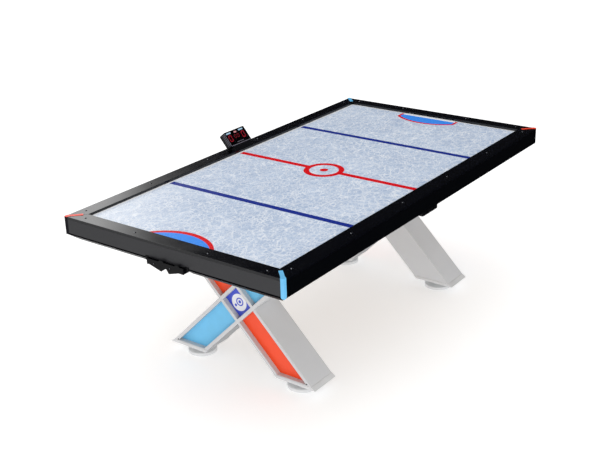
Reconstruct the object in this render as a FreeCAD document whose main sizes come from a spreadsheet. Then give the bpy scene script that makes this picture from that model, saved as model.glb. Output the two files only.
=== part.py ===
import FreeCAD
import Part
import Sketcher
import math
import os
import re

# Air hockey table. X runs along the length towards the away end, Y across it towards the side that
# carries the scoreboard, Z up from the floor. The ends are "home" (-X) and "away" (+X), the long
# sides are "front" (-Y) and "score" (+Y). All sizes are millimetres.

SIZES = {
    # whole table
    "table_length": 2286.0,
    "table_width": 1219.0,
    "rail_top": 820.0,
    # cabinet
    "rail_width": 74.0,
    "rail_thickness": 12.0,
    "apron_height": 85.5,
    "apron_thickness": 18.0,
    "bevel_height": 32.5,
    "bevel_inset": 41.0,
    "bevel_width": 48.0,
    "playfield_thickness": 12.0,
    "floor_thickness": 15.0,
    "stringer_gap": 320.0,
    # bolts through the top rails
    "bolt_inset": 32.0,
    "bolt_radius": 2.5,
    "bolt_head_radius": 5.5,
    "bolt_head_height": 2.0,
    "bolt_reach": 44.0,
    "hole_clearance": 0.1,
    # corner trims
    "trim_width": 18.0,
    "trim_reach": 58.0,
    "trim_taper": 19.0,
    "trim_leg": 15.5,
    "trim_thickness": 1.2,
    "trim_end_radius": 8.0,
    # goals
    "goal_width": 300.0,
    "goal_slot_height": 8.5,
    "goal_notch": 48.0,
    "box_depth": 110.0,
    "box_wall": 3.0,
    "chute_width": 200.0,
    "chute_fall": 18.0,
    "sensor_length": 24.0,
    "sensor_width": 14.0,
    "sensor_height": 20.0,
    # puck return
    "pocket_proud": 14.0,
    "pocket_floor": 720.0,
    "pocket_rim": 743.0,
    "pocket_tab": 7.0,
    "ear_width": 18.0,
    "ear_hole": 742.0,
    # small pan-head screws
    "screw_radius": 2.0,
    "screw_head_radius": 4.0,
    "screw_head_height": 2.2,
    "screw_reach": 15.0,
    # blower
    "drum_radius": 110.0,
    "drum_height": 60.0,
    "drum_wall": 3.0,
    "flange_radius": 126.0,
    "flange_screw_circle": 118.0,
    "inlet_radius": 50.0,
    "outlet_radius": 104.0,
    "motor_radius": 38.0,
    "motor_height": 31.0,
    "shaft_radius": 4.0,
    "shaft_clearance": 0.05,
    "impeller_radius": 100.0,
    "blade_height": 14.0,
    "grille_radius": 60.0,
    # power box, switch and socket
    "power_length": 140.0,
    "power_depth": 40.0,
    "power_height": 20.0,
    "power_foot": 711.0,
    "power_face": 603.0,
    "power_wall": 2.5,
    "rocker_width": 12.0,
    "rocker_height": 12.0,
    "rocker_depth": 5.0,
    "rocker_place": 30.0,
    "rocker_tilt": 10.0,
    "pin_radius": 1.5,
    "socket_width": 22.0,
    "socket_height": 12.0,
    # scoreboard
    "board_place": 38.5,
    "board_width": 163.0,
    "board_height": 84.0,
    "board_thickness": 36.5,
    "board_lean": 39.5,
    "board_front": 552.5,
    "board_foot": 846.0,
    "board_wall": 3.0,
    "board_bezel": 5.0,
    "board_radius": 6.0,
    "lens_thickness": 2.0,
    "display_thickness": 4.0,
    "stand_width": 130.0,
    "button_radius": 4.0,
    "button_proud": 2.0,
    # legs
    "leg_offset": 636.5,
    "leg_depth": 162.0,
    "leg_wall": 15.0,
    "face_wall": 31.0,
    "beam_width": 150.0,
    "cross_height": 373.0,
    "beam_foot": 65.5,
    "recess_border": 17.0,
    "recess_foot": 4.0,
    "recess_depth": 27.0,
    "insert_thickness": 3.0,
    "plate_thickness": 5.0,
    "plate_flange": 45.0,
    "plate_bolt_radius": 4.0,
    "plate_bolt_head": 6.5,
    # feet
    "cap_foot": 50.0,
    "cap_flare": 1.5,
    "cap_spread": 3.5,
    "foot_offset": 305.0,
    "foot_radius": 71.5,
    "foot_height": 19.0,
    "neck_radius": 16.0,
    "foot_gap": 0.3,
    "stem_radius": 6.0,
    "stem_clearance": 0.05,
    "stem_top": 100.0,
}

# Heights and half sizes that many pieces share, as expressions over the sheet.
HALF_L = "(table_length/2)"
HALF_W = "(table_width/2)"
PLAY_TOP = "(rail_top-rail_thickness)"
PLAY_FOOT = "(rail_top-rail_thickness-playfield_thickness)"
APRON_FOOT = "(rail_top-apron_height)"
CABINET_FOOT = "(rail_top-apron_height-bevel_height)"
FLOOR_TOP = "(rail_top-apron_height-bevel_height+floor_thickness)"
DRUM_FOOT = f"({CABINET_FOOT}-drum_height)"
BEAM_TOP = f"({CABINET_FOOT}-plate_thickness)"
POWER_MIDDLE = "(power_foot+power_height/2)"
PIN_LINE = "(power_face-rocker_depth)"

# Each side's outward direction is its own +Y turned about Z: (angle, half run along it, half reach).
SIDES = {
    "score": (0, HALF_L, HALF_W),
    "home": (90, HALF_W, HALF_L),
    "front": (180, HALF_L, HALF_W),
    "away": (270, HALF_W, HALF_L),
}
ENDS = ("home", "away")
LONG_SIDES = ("front", "score")
SIDE_BOLTS = ("205", "625", "1045")
END_BOLTS = ("205", "510")

doc = FreeCAD.newDocument("AirHockeyTable")
sub_parts = []


# ---------------------------------------------------------------- helpers


def bound(text):
    """The expression with every driving dimension's name read from the sheet."""
    return re.sub(r"[a-z]\w*", lambda m: f"Sizes.{m.group(0)}" if m.group(0) in SIZES else m.group(0), text)


def make_sheet():
    sheet = doc.addObject("Spreadsheet::Sheet", "Sizes")
    for row, (name, value) in enumerate(SIZES.items(), start=1):
        sheet.set(f"A{row}", name)
        sheet.set(f"B{row}", str(value))
        sheet.setAlias(f"B{row}", name)
    doc.recompute()


def new_body(label, angle=0, x="0", y="0"):
    """An empty body turned about Z by angle and moved to x, y."""
    body = doc.addObject("PartDesign::Body", label)
    body.Label = label
    body.AllowCompound = True
    body.Placement = FreeCAD.Placement(FreeCAD.Vector(), FreeCAD.Rotation(FreeCAD.Vector(0, 0, 1), angle))
    body.setExpression("Placement.Base.x", bound(x))
    body.setExpression("Placement.Base.y", bound(y))
    sub_parts.append(body)
    return body


def new_sketch(body, plane, offset):
    """A sketch on one of the body's planes, moved along that plane's normal."""
    sketch = body.newObject("Sketcher::SketchObject", "Sketch")
    support = [f for f in body.Origin.OriginFeatures if f.Role == plane][0]
    sketch.AttachmentSupport = (support, [""])
    sketch.MapMode = "FlatFace"
    sketch.setExpression("AttachmentOffset.Base.z", bound(offset))
    return sketch


def fix_point(sketch, index, position, corner):
    """Holds a geometry's point at a pair of expressions."""
    for kind, text in zip(("DistanceX", "DistanceY"), corner):
        number = sketch.addConstraint(Sketcher.Constraint(kind, -1, 1, index, position, 1.0))
        sketch.setExpression(f"Constraints[{number}]", bound(text))


def polygon(body, plane, corners, offset="0"):
    """A closed outline of straight edges through corners given as pairs of expressions."""
    sketch = new_sketch(body, plane, offset)
    add_outline(sketch, corners)
    return sketch


def add_outline(sketch, corners):
    count = len(corners)
    first = sketch.GeometryCount
    spread = [2 * math.pi * i / count for i in range(count)]
    starts = [FreeCAD.Vector(10 * math.cos(a), 10 * math.sin(a), 0) for a in spread]
    for i in range(count):
        sketch.addGeometry(Part.LineSegment(starts[i], starts[(i + 1) % count]), False)
    for i in range(count):
        follower = first + (i + 1) % count
        sketch.addConstraint(Sketcher.Constraint("Coincident", first + i, 2, follower, 1))
        fix_point(sketch, first + i, 1, corners[i])


def circles(body, plane, centres, radius, offset="0"):
    """Circles of one radius about centres given as pairs of expressions."""
    sketch = new_sketch(body, plane, offset)
    for index, centre in enumerate(centres):
        circle = Part.Circle(FreeCAD.Vector(20 * index, 0, 0), FreeCAD.Vector(0, 0, 1), 1)
        sketch.addGeometry(circle, False)
        fix_point(sketch, index, 3, centre)
        number = sketch.addConstraint(Sketcher.Constraint("Radius", index, 1.0))
        sketch.setExpression(f"Constraints[{number}]", bound(radius))
    return sketch


def rectangle(x_low, x_high, y_low, y_high):
    """The four corners of a rectangle, as pairs of expressions."""
    return [(x_low, y_low), (x_high, y_low), (x_high, y_high), (x_low, y_high)]


def pad(body, sketch, length, both_ways=False, against=False):
    """Material from the sketch along its normal, against it, or half of the length each way."""
    feature = body.newObject("PartDesign::Pad", "Pad")
    feature.Profile = sketch
    feature.SideType = "Symmetric" if both_ways else "One side"
    feature.Reversed = against
    feature.setExpression("Length", bound(length))
    doc.recompute()
    return feature


def pocket(body, sketch, length, both_ways=False, along=False):
    """A cut from the sketch against its normal, along it, or half of the length each way."""
    before = body.Shape.Volume
    feature = body.newObject("PartDesign::Pocket", "Pocket")
    feature.Profile = sketch
    feature.SideType = "Symmetric" if both_ways else "One side"
    feature.Reversed = along
    feature.setExpression("Length", bound(length))
    doc.recompute()
    if body.Shape.Volume > before - 1e-6:
        raise RuntimeError(f"a pocket of {body.Label} cuts nothing")
    return feature


def loft(body, first, second, kind="PartDesign::AdditiveLoft"):
    feature = body.newObject(kind, "Loft")
    feature.Profile = first
    feature.Sections = [second]
    feature.Ruled = True
    doc.recompute()
    return feature


def revolve(body, profile):
    """A full turn about Z of an outline given as radius and height pairs."""
    sketch = polygon(body, "XZ_Plane", profile)
    feature = body.newObject("PartDesign::Revolution", "Revolution")
    feature.Profile = sketch
    feature.ReferenceAxis = (sketch, ["V_Axis"])
    feature.Angle = 360
    doc.recompute()
    return feature


def repeat_round(body, feature, count):
    """Copies of a feature spaced evenly about Z."""
    pattern = body.newObject("PartDesign::PolarPattern", "Pattern")
    pattern.Originals = [feature]
    axis = [f for f in body.Origin.OriginFeatures if f.Role == "Z_Axis"][0]
    pattern.Axis = (axis, [""])
    pattern.Angle = 360
    pattern.Occurrences = count
    body.Tip = pattern
    doc.recompute()
    return pattern


def round_edges(body, wanted, radius):
    """Fillets the body's edges for which wanted(edge) is true."""
    base = body.Tip
    names = [f"Edge{i + 1}" for i, edge in enumerate(base.Shape.Edges) if wanted(edge)]
    feature = body.newObject("PartDesign::Fillet", "Fillet")
    feature.Base = (base, names)
    feature.setExpression("Radius", bound(radius))
    doc.recompute()
    return feature


def runs_along(edge, direction):
    """True for a straight edge in that direction, in the body's own frame."""
    if edge.Curve.TypeId != "Part::GeomLine":
        return False
    return abs(abs(edge.Curve.Direction.dot(direction)) - 1) < 1e-6


X = FreeCAD.Vector(1, 0, 0)
Y = FreeCAD.Vector(0, 1, 0)
Z = FreeCAD.Vector(0, 0, 1)


# ---------------------------------------------------------------- cabinet


def mitred_outline(along, out, outer, inner):
    """A board's plan with 45 degree ends: outer and inner are its faces' insets from the edge."""
    return [
        (f"-({along}-{outer})", f"{out}-{outer}"),
        (f"{along}-{outer}", f"{out}-{outer}"),
        (f"{along}-{inner}", f"{out}-{inner}"),
        (f"-({along}-{inner})", f"{out}-{inner}"),
    ]


def bolt_spots(side):
    """Where the rail bolts stand, in the side's own frame."""
    places = END_BOLTS if side in ENDS else SIDE_BOLTS
    out = SIDES[side][2]
    return [(sign + place, f"{out}-bolt_inset") for place in places for sign in ("-", "")]


def all_bolt_spots():
    """Every rail bolt's place in the table's frame."""
    long_ones = [(f"{a}{p}", f"{b}({HALF_W}-bolt_inset)") for p in SIDE_BOLTS for a in "-+" for b in "-+"]
    short_ones = [(f"{b}({HALF_L}-bolt_inset)", f"{a}{p}") for p in END_BOLTS for a in "-+" for b in "-+"]
    return long_ones + short_ones


def drill(body, spots, radius, top, depth):
    """Round holes straight down from a height."""
    return pocket(body, circles(body, "XY_Plane", spots, radius, top), depth)


def make_rail(side):
    """Flat black top rail, mitred, with the goal slot cut into the underside at the ends."""
    angle, along, out = SIDES[side]
    body = new_body(f"rail_{side}", angle)
    plan = mitred_outline(along, out, "0", "rail_width")
    pad(body, polygon(body, "XY_Plane", plan, PLAY_TOP), "rail_thickness")
    if side in ENDS:
        slot = rectangle("-goal_width/2", "goal_width/2", f"{out}-rail_width-1", f"{out}-apron_thickness")
        pocket(body, polygon(body, "XY_Plane", slot, f"{PLAY_TOP}+goal_slot_height"), "goal_slot_height+1")
    drill(body, bolt_spots(side), "bolt_radius+hole_clearance", "rail_top", "rail_thickness")
    if side == "score":
        spots = [(f"board_place{sign}50", "600") for sign in "-+"]
        drill(body, spots, "screw_radius+hole_clearance", "rail_top", "rail_thickness")


def make_apron(side):
    """Upright board under a top rail."""
    angle, along, out = SIDES[side]
    body = new_body(f"apron_{side}", angle)
    plan = mitred_outline(along, out, "0", "apron_thickness")
    pad(body, polygon(body, "XY_Plane", plan, APRON_FOOT), f"{PLAY_TOP}-{APRON_FOOT}")
    if side in ENDS:
        spots = [(f"{sign}(chute_width/2+box_wall+ear_width/2)", "ear_hole") for sign in ("-", "")]
        holes = circles(body, "XZ_Plane", spots, "screw_radius+hole_clearance", f"-{out}")
        pocket(body, holes, "screw_reach-1", along=True)


def make_bevel(side):
    """Solid moulding that slopes in at 45 degrees below an apron."""
    angle, along, out = SIDES[side]
    body = new_body(f"bevel_{side}", angle)
    low_plan = mitred_outline(along, out, "bevel_inset", "bevel_width")
    low = polygon(body, "XY_Plane", low_plan, CABINET_FOOT)
    high = polygon(body, "XY_Plane", mitred_outline(along, out, "0", "bevel_width"), APRON_FOOT)
    loft(body, low, high)
    if side in ENDS:
        half = "(chute_width/2+box_wall+0.5)"
        window = rectangle(f"-{half}", half, f"{out}-bevel_width-1", f"{out}+1")
        pocket(body, polygon(body, "XY_Plane", window, f"{APRON_FOOT}+1"), "bevel_height+2")
    if side == "front":
        half = "(power_length/2+0.5)"
        window = rectangle(f"-{half}", half, f"{out}-bevel_width-1", f"{out}+1")
        top = "power_foot+power_height+1"
        pocket(body, polygon(body, "XY_Plane", window, top), f"power_foot+power_height+2-{CABINET_FOOT}")


def make_playfield():
    """Panel that the puck slides on, notched at both ends for the goals."""
    body = new_body("playfield")
    edge_x = f"({HALF_L}-apron_thickness)"
    edge_y = f"({HALF_W}-apron_thickness)"
    plan = rectangle(f"-{edge_x}", edge_x, f"-{edge_y}", edge_y)
    pad(body, polygon(body, "XY_Plane", plan, PLAY_FOOT), "playfield_thickness")
    for low, high in ((f"{edge_x}-goal_notch", f"{edge_x}+1"), (f"-{edge_x}-1", f"-{edge_x}+goal_notch")):
        notch = rectangle(low, high, "-goal_width/2", "goal_width/2")
        pocket(body, polygon(body, "XY_Plane", notch, f"{PLAY_TOP}+1"), "playfield_thickness+2")
    drill(body, all_bolt_spots(), "bolt_radius+hole_clearance", PLAY_TOP, "playfield_thickness")


def make_floor_panel():
    """Panel that closes the air chamber below, with the blower's outlet and the leg bolts' holes."""
    body = new_body("floor_panel")
    edge_x = f"({HALF_L}-bevel_width)"
    edge_y = f"({HALF_W}-bevel_width)"
    plan = rectangle(f"-{edge_x}", edge_x, f"-{edge_y}", edge_y)
    pad(body, polygon(body, "XY_Plane", plan, CABINET_FOOT), "floor_thickness")
    drill(body, [("0", "0")], "outlet_radius", f"{FLOOR_TOP}+1", "floor_thickness+2")
    drill(body, leg_bolt_spots(), "plate_bolt_radius+hole_clearance", f"{FLOOR_TOP}+1", "floor_thickness+2")
    drill(body, flange_spots(), "screw_radius+hole_clearance", f"{CABINET_FOOT}+13", "14")


def make_stringers(side):
    """Bars that carry the playfield's edge: one on a long side, two beside the goal on an end."""
    angle, along, out = SIDES[side]
    body = new_body(f"stringer_{side}", angle)
    low, high = f"{out}-bevel_width", f"{out}-apron_thickness"
    if side in LONG_SIDES:
        plans = [rectangle(f"-({along}-apron_thickness)", f"{along}-apron_thickness", low, high)]
    else:
        far = f"({along}-bevel_width)"
        plans = [
            rectangle("stringer_gap/2", far, low, high),
            rectangle(f"-{far}", "-stringer_gap/2", low, high),
        ]
    sketch = new_sketch(body, "XY_Plane", APRON_FOOT)
    for plan in plans:
        add_outline(sketch, plan)
    pad(body, sketch, f"{PLAY_FOOT}-{APRON_FOOT}")
    drill(body, bolt_spots(side), "bolt_radius+hole_clearance", PLAY_FOOT, "bolt_reach-rail_thickness")


def make_corner_trim(label, angle, x, y):
    """Strip over a mitre that turns down along the corner, its own origin at the outer corner."""
    body = new_body(label, angle, x, y)
    skin = "trim_thickness"
    half = "(trim_width/sqrt(8))"
    corner_plan = [
        (f"-{skin}", f"-{skin}"),
        ("trim_leg", f"-{skin}"),
        ("trim_leg", "0"),
        ("0", "0"),
        ("0", "trim_leg"),
        (f"-{skin}", "trim_leg"),
    ]
    strip_plan = [
        (f"-{skin}", f"-{skin}"),
        ("trim_leg", f"-{skin}"),
        (f"trim_taper+{half}", f"trim_taper-{half}"),
        (f"trim_reach+{half}", f"trim_reach-{half}"),
        (f"trim_reach-{half}", f"trim_reach+{half}"),
        (f"trim_taper-{half}", f"trim_taper+{half}"),
        (f"-{skin}", "trim_leg"),
    ]
    pad(body, polygon(body, "XY_Plane", corner_plan, APRON_FOOT), f"apron_height+{skin}")
    pad(body, polygon(body, "XY_Plane", strip_plan, "rail_top"), skin)
    foot = SIZES["rail_top"] - SIZES["apron_height"]

    def free_foot_corner(edge):
        place = edge.CenterOfMass
        outside = runs_along(edge, X) or runs_along(edge, Y)
        short = edge.Length < 2 * SIZES["trim_thickness"]
        return outside and short and abs(place.z - foot) < 1e-6

    round_edges(body, free_foot_corner, "trim_end_radius")


def make_fasteners(label, sizes, *groups):
    """Identical fasteners. sizes is (shank radius, head radius, head height, shank length).

    A group is (plane, spots, start, against): its shanks run from the start along the plane's
    normal, or against it, and the heads stand at the start on the other side."""
    body = new_body(label)
    shank_radius, head_radius, head_height, shank_length = sizes
    for plane, spots, start, against in groups:
        pad(body, circles(body, plane, spots, shank_radius, start), shank_length, against=against)
        pad(body, circles(body, plane, spots, head_radius, start), head_height, against=not against)
    return body


def make_rail_bolts():
    """Domed bolts through the rails and the playfield into the stringers."""
    sizes = ("bolt_radius", "bolt_head_radius", "bolt_head_height", "bolt_reach")
    body = make_fasteners("rail_bolts", sizes, ("XY_Plane", all_bolt_spots(), "rail_top", True))
    top = SIZES["rail_top"] + SIZES["bolt_head_height"]
    round_edges(body, lambda edge: abs(edge.BoundBox.ZMin - top) < 1e-6, "bolt_head_height*0.8")


# ---------------------------------------------------------------- goals


def slope_height(inset):
    """Height of the sloping chute floor at an inset from the table's end face."""
    run = "(box_depth+apron_thickness+pocket_proud)"
    return f"(pocket_floor+chute_fall*({inset}+pocket_proud)/{run})"


def make_goal_box(side):
    """Hopper under the goal slot that lets the puck slide out below the apron."""
    angle, _, out = SIDES[side]
    body = new_body(f"goal_box_{side}", angle)
    top, neck, foot = PLAY_FOOT, APRON_FOOT, "(pocket_floor-3)"
    wide, narrow = "(goal_width/2)", "(chute_width/2)"
    outside = [
        (f"{wide}+box_wall", top),
        (f"{narrow}+box_wall", neck),
        (f"{narrow}+box_wall", foot),
        (f"-{narrow}-box_wall", foot),
        (f"-{narrow}-box_wall", neck),
        (f"-{wide}-box_wall", top),
    ]
    far = f"({out}-apron_thickness-box_depth)"
    near = f"({out}-apron_thickness)"
    pad(body, polygon(body, "XZ_Plane", outside, f"-{near}"), "box_depth")

    def inside(inset):
        floor = slope_height(inset)
        return [
            (wide, f"{top}+1"),
            (narrow, f"{neck}+6"),
            (narrow, floor),
            (f"-{narrow}", floor),
            (f"-{narrow}", f"{neck}+6"),
            (f"-{wide}", f"{top}+1"),
        ]

    inner = polygon(body, "XZ_Plane", inside("(apron_thickness+box_depth-box_wall)"), f"-({far}+box_wall)")
    outer = polygon(body, "XZ_Plane", inside("(apron_thickness-1)"), f"-({near}+1)")
    loft(body, inner, outer, "PartDesign::SubtractiveLoft")
    # The chute floor stops where the pocket's own floor takes over, at the bevel's inner face.
    low = f"{out}-bevel_width"
    share = rectangle("-chute_width", "chute_width", low, f"{near}+1")
    pocket(body, polygon(body, "XY_Plane", share, f"{neck}"), "40")


def make_goal_sensors():
    """Four infra-red modules, one on each cheek of the two goal boxes."""
    body = new_body("goal_sensors")
    x_low = f"({HALF_L}-apron_thickness-box_depth/2-sensor_length/2)"
    x_high = f"({HALF_L}-apron_thickness-box_depth/2+sensor_length/2)"
    y_low = "(goal_width/2+box_wall)"
    y_high = "(goal_width/2+box_wall+sensor_width)"
    sketch = new_sketch(body, "XY_Plane", PLAY_FOOT)
    for ends in ((x_low, x_high), (f"-{x_high}", f"-{x_low}")):
        add_outline(sketch, rectangle(*ends, y_low, y_high))
        add_outline(sketch, rectangle(*ends, f"-{y_high}", f"-{y_low}"))
    pad(body, sketch, "sensor_height", against=True)


def make_puck_return(side):
    """Pocket below the apron where the puck comes to rest, with a finger notch in its front."""
    angle, _, out = SIDES[side]
    body = new_body(f"puck_return_{side}", angle)
    face = f"({out}+pocket_proud)"
    half = "(chute_width/2)"
    # The front wall's lower edge has a long wing, a finger notch and a second, shorter tooth; its
    # upper edge has two tabs.
    rim, tab = "pocket_rim", "pocket_rim+pocket_tab"
    front = [
        ("103", rim),
        ("103", "722"),
        ("23", "700"),
        ("-5", "720"),
        ("-20", "699"),
        ("-75", "716"),
        ("-103", "716"),
        ("-103", rim),
        ("-82", rim),
        ("-76", tab),
        ("-60", tab),
        ("-54", rim),
        ("6", rim),
        ("12", tab),
        ("30", tab),
        ("36", rim),
    ]
    pad(body, polygon(body, "XZ_Plane", front, f"-{face}"), "box_wall")
    floor = [
        (f"{out}-bevel_width", f"{slope_height('bevel_width')}-box_wall"),
        (f"{face}-1", f"{slope_height('(1-pocket_proud)')}-box_wall"),
        (f"{face}-1", slope_height("(1-pocket_proud)")),
        (f"{out}-bevel_width", slope_height("bevel_width")),
    ]
    pad(body, polygon(body, "YZ_Plane", floor), "chute_width+box_wall", both_ways=True)
    cheek = [
        (f"{out}-bevel_width", "pocket_floor-3"),
        (face, "pocket_floor-3"),
        (face, "pocket_rim"),
        (f"{out}", "pocket_rim"),
        (f"{out}", f"{APRON_FOOT}"),
        (f"{out}-bevel_width", f"{APRON_FOOT}"),
    ]
    for start in (half, f"-{half}-box_wall"):
        pad(body, polygon(body, "YZ_Plane", cheek, start), "box_wall")
    for low, high in ((f"{half}+box_wall-0.5", f"{half}+box_wall+ear_width"),
                      (f"-{half}-box_wall-ear_width", f"-{half}-box_wall+0.5")):
        ear = rectangle(low, high, f"{APRON_FOOT}-6", "ear_hole+6")
        pad(body, polygon(body, "XZ_Plane", ear, f"-({out}+box_wall)"), "box_wall")
    spots = [(f"{sign}(chute_width/2+box_wall+ear_width/2)", "ear_hole") for sign in ("-", "")]
    holes = circles(body, "XZ_Plane", spots, "screw_radius+hole_clearance", f"-({out}+box_wall+1)")
    pocket(body, holes, "box_wall+2", along=True)
    # Finger slot through the pocket's floor behind the notch.
    slot = rectangle("-22", "16", f"{out}-16", f"{face}-6")
    pocket(body, polygon(body, "XY_Plane", slot, "pocket_floor+8"), "16")


# ---------------------------------------------------------------- blower


def flange_spots():
    """Four screw places on the blower's flange, on the diagonals."""
    reach = "(flange_screw_circle/sqrt(2))"
    return [(f"{a}{reach}", f"{b}{reach}") for a in "-+" for b in "-+"]


def make_blower_housing():
    """Drum below the cabinet with an inlet in its foot and a ring on four arms for the motor."""
    body = new_body("blower_housing")
    inner = "drum_radius-drum_wall"
    ring_top = f"{CABINET_FOOT}-3"
    revolve(body, [
        ("inlet_radius", DRUM_FOOT),
        ("drum_radius", DRUM_FOOT),
        ("drum_radius", f"{CABINET_FOOT}-3"),
        ("flange_radius", f"{CABINET_FOOT}-3"),
        ("flange_radius", CABINET_FOOT),
        (inner, CABINET_FOOT),
        (inner, f"{DRUM_FOOT}+drum_wall"),
        ("inlet_radius", f"{DRUM_FOOT}+drum_wall"),
    ])
    revolve(body, [
        ("motor_radius", f"{ring_top}-9"),
        ("motor_radius+4", f"{ring_top}-9"),
        ("motor_radius+4", ring_top),
        ("motor_radius", ring_top),
    ])
    arm = rectangle("motor_radius+2", f"{inner}+1", "-7", "7")
    first = pad(body, polygon(body, "XY_Plane", arm, ring_top), "9", against=True)
    repeat_round(body, first, 4)
    drill(body, flange_spots(), "screw_radius+hole_clearance", f"{CABINET_FOOT}+1", "5")


def make_blower_motor():
    """Motor can held in the housing's ring, bored for the impeller's shaft."""
    body = new_body("blower_motor")
    top = f"{CABINET_FOOT}-3"
    revolve(body, [
        ("shaft_radius+shaft_clearance", f"{top}-motor_height"),
        ("motor_radius-4", f"{top}-motor_height"),
        ("motor_radius", f"{top}-motor_height+4"),
        ("motor_radius", top),
        ("motor_radius-8", f"{top}+2"),
        ("shaft_radius+shaft_clearance", f"{top}+2"),
    ])


def make_blower_impeller():
    """Impeller with radial blades under a back plate, one piece with its shaft."""
    body = new_body("blower_impeller")
    blade_foot = f"({DRUM_FOOT}+drum_wall+3)"
    plate_foot = f"({DRUM_FOOT}+drum_wall+3+blade_height)"
    revolve(body, [
        ("0", f"{blade_foot}+2"),
        ("12", f"{blade_foot}+2"),
        ("14", plate_foot),
        ("impeller_radius", plate_foot),
        ("impeller_radius", f"{plate_foot}+2.5"),
        ("shaft_radius", f"{plate_foot}+2.5"),
        ("shaft_radius", f"{CABINET_FOOT}+4"),
        ("0", f"{CABINET_FOOT}+4"),
    ])
    blade = rectangle("58", "impeller_radius-1", "-1.2", "1.2")
    first = pad(body, polygon(body, "XY_Plane", blade, blade_foot), "blade_height+0.5")
    repeat_round(body, first, 16)


def make_inlet_grille():
    """Flat slotted cover over the blower's inlet."""
    body = new_body("inlet_grille")
    pad(body, circles(body, "XY_Plane", [("0", "0")], "grille_radius", DRUM_FOOT), "3", against=True)
    slot = rectangle("16", "inlet_radius-4", "-2.5", "2.5")
    first = pocket(body, polygon(body, "XY_Plane", slot, f"{DRUM_FOOT}+1"), "5")
    repeat_round(body, first, 16)


# ---------------------------------------------------------------- power box


def power_window(centre, width, height):
    """A window's corners in the box's upright face, seen in the front side's own frame."""
    low, high = (f"{POWER_MIDDLE}{sign}{height}/2" for sign in "-+")
    return rectangle(f"{centre}-{width}/2", f"{centre}+{width}/2", low, high)


def make_power_box():
    """Shell in the front bevel that holds the switch and the power socket."""
    body = new_body("power_box", 180)
    back = "(power_face-power_depth)"
    inside = "(power_face-power_wall)"
    outer = rectangle("-power_length/2", "power_length/2", back, "power_face")
    pad(body, polygon(body, "XY_Plane", outer, "power_foot"), "power_height")
    front = SIZES["power_face"] - 1
    round_edges(body, lambda edge: runs_along(edge, Z) and edge.CenterOfMass.y > front, "8")
    inner = rectangle("-power_length/2+power_wall", "power_length/2-power_wall", f"{back}-1", inside)
    hollow = polygon(body, "XY_Plane", inner, "power_foot+power_wall")
    pocket(body, hollow, "power_height-2*power_wall", along=True)
    openings = (("rocker_place", "(rocker_width+1)", "(rocker_height+1)"),
                ("-rocker_place", "socket_width", "socket_height"))
    for centre, width, height in openings:
        window = polygon(body, "XZ_Plane", power_window(centre, width, height), "-power_face-1")
        pocket(body, window, "power_wall+2", along=True)
    # Two lugs behind the front wall carry the rocker's pins.
    lug = rectangle(f"{PIN_LINE}-4", f"{inside}+0.5", f"{POWER_MIDDLE}-4", f"{POWER_MIDDLE}+4")
    for place in ("rocker_place-rocker_width/2-2.7", "rocker_place+rocker_width/2+0.7"):
        pad(body, polygon(body, "YZ_Plane", lug, place), "2")
    bore = circles(body, "YZ_Plane", [(PIN_LINE, POWER_MIDDLE)], "pin_radius+0.05", "rocker_place")
    pocket(body, bore, "rocker_width+8", both_ways=True)


def make_power_switch():
    """Rocker that tips on two pins about an axis along the table."""
    body = new_body("power_switch", 180)
    half = "(rocker_height/2)"
    profile = [
        ("rocker_depth-3.5", f"-{half}+1.5"),
        ("-3", "0"),
        ("rocker_depth-3.5", f"{half}-1.5"),
        ("rocker_depth+2.2", f"{half}-0.6"),
        ("rocker_depth+1.2", "0"),
        ("rocker_depth+2.2", f"-{half}+0.6"),
    ]
    pad(body, polygon(body, "YZ_Plane", profile), "rocker_width", both_ways=True)
    pad(body, circles(body, "YZ_Plane", [("0", "0")], "pin_radius"), "rocker_width+5", both_ways=True)
    turn = FreeCAD.Rotation(Z, 180).multiply(FreeCAD.Rotation(X, -SIZES["rocker_tilt"]))
    body.Placement = FreeCAD.Placement(FreeCAD.Vector(), turn)
    body.setExpression("Placement.Base.x", bound("-rocker_place"))
    body.setExpression("Placement.Base.y", bound(f"-{PIN_LINE}"))
    body.setExpression("Placement.Base.z", bound(POWER_MIDDLE))


def make_power_socket():
    """Two-pin appliance inlet with a thin flange."""
    body = new_body("power_socket", 180)

    def window(rim, offset):
        corners = power_window("-rocker_place", f"(socket_width+{rim})", f"(socket_height+{rim})")
        return polygon(body, "XZ_Plane", corners, offset)

    pad(body, window("4", "-(power_face+1.5)"), "1.5")
    pad(body, window("0", "-power_face"), "12")
    pocket(body, window("-5", "-(power_face+2.5)"), "11", along=True)
    spots = [(f"-rocker_place{sign}4", POWER_MIDDLE) for sign in "-+"]
    pins = circles(body, "XZ_Plane", spots, "1.2", "-(power_face-10)")
    pad(body, pins, "8", against=True)


# ---------------------------------------------------------------- scoreboard


def lean_back(body, x_shift="0"):
    """Puts a scoreboard piece, drawn upright with its front foot edge on X, in its leaning place."""
    body.Placement = FreeCAD.Placement(FreeCAD.Vector(), FreeCAD.Rotation(X, -SIZES["board_lean"]))
    body.setExpression("Placement.Base.x", bound(f"board_place+{x_shift}"))
    body.setExpression("Placement.Base.y", bound("board_front"))
    body.setExpression("Placement.Base.z", bound("board_foot"))


def make_scoreboard_stand():
    """Wedge on the score side's rail that the scoreboard leans on."""
    body = new_body("scoreboard_stand", 0, "board_place")
    sine, cosine = "sin(board_lean*1deg)", "cos(board_lean*1deg)"
    back_y = f"(board_front+board_thickness*{cosine})"
    back_z = f"(board_foot-board_thickness*{sine})"
    profile = [
        ("board_front-14", "rail_top"),
        ("606", "rail_top"),
        ("606", back_z),
        (back_y, back_z),
        ("board_front", "board_foot"),
        ("board_front-3", "board_foot"),
    ]
    pad(body, polygon(body, "YZ_Plane", profile), "stand_width", both_ways=True)
    spots = [(f"{sign}50", "600") for sign in "-+"]
    drill(body, spots, "screw_radius+hole_clearance", f"{back_z}+1", "8")


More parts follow.
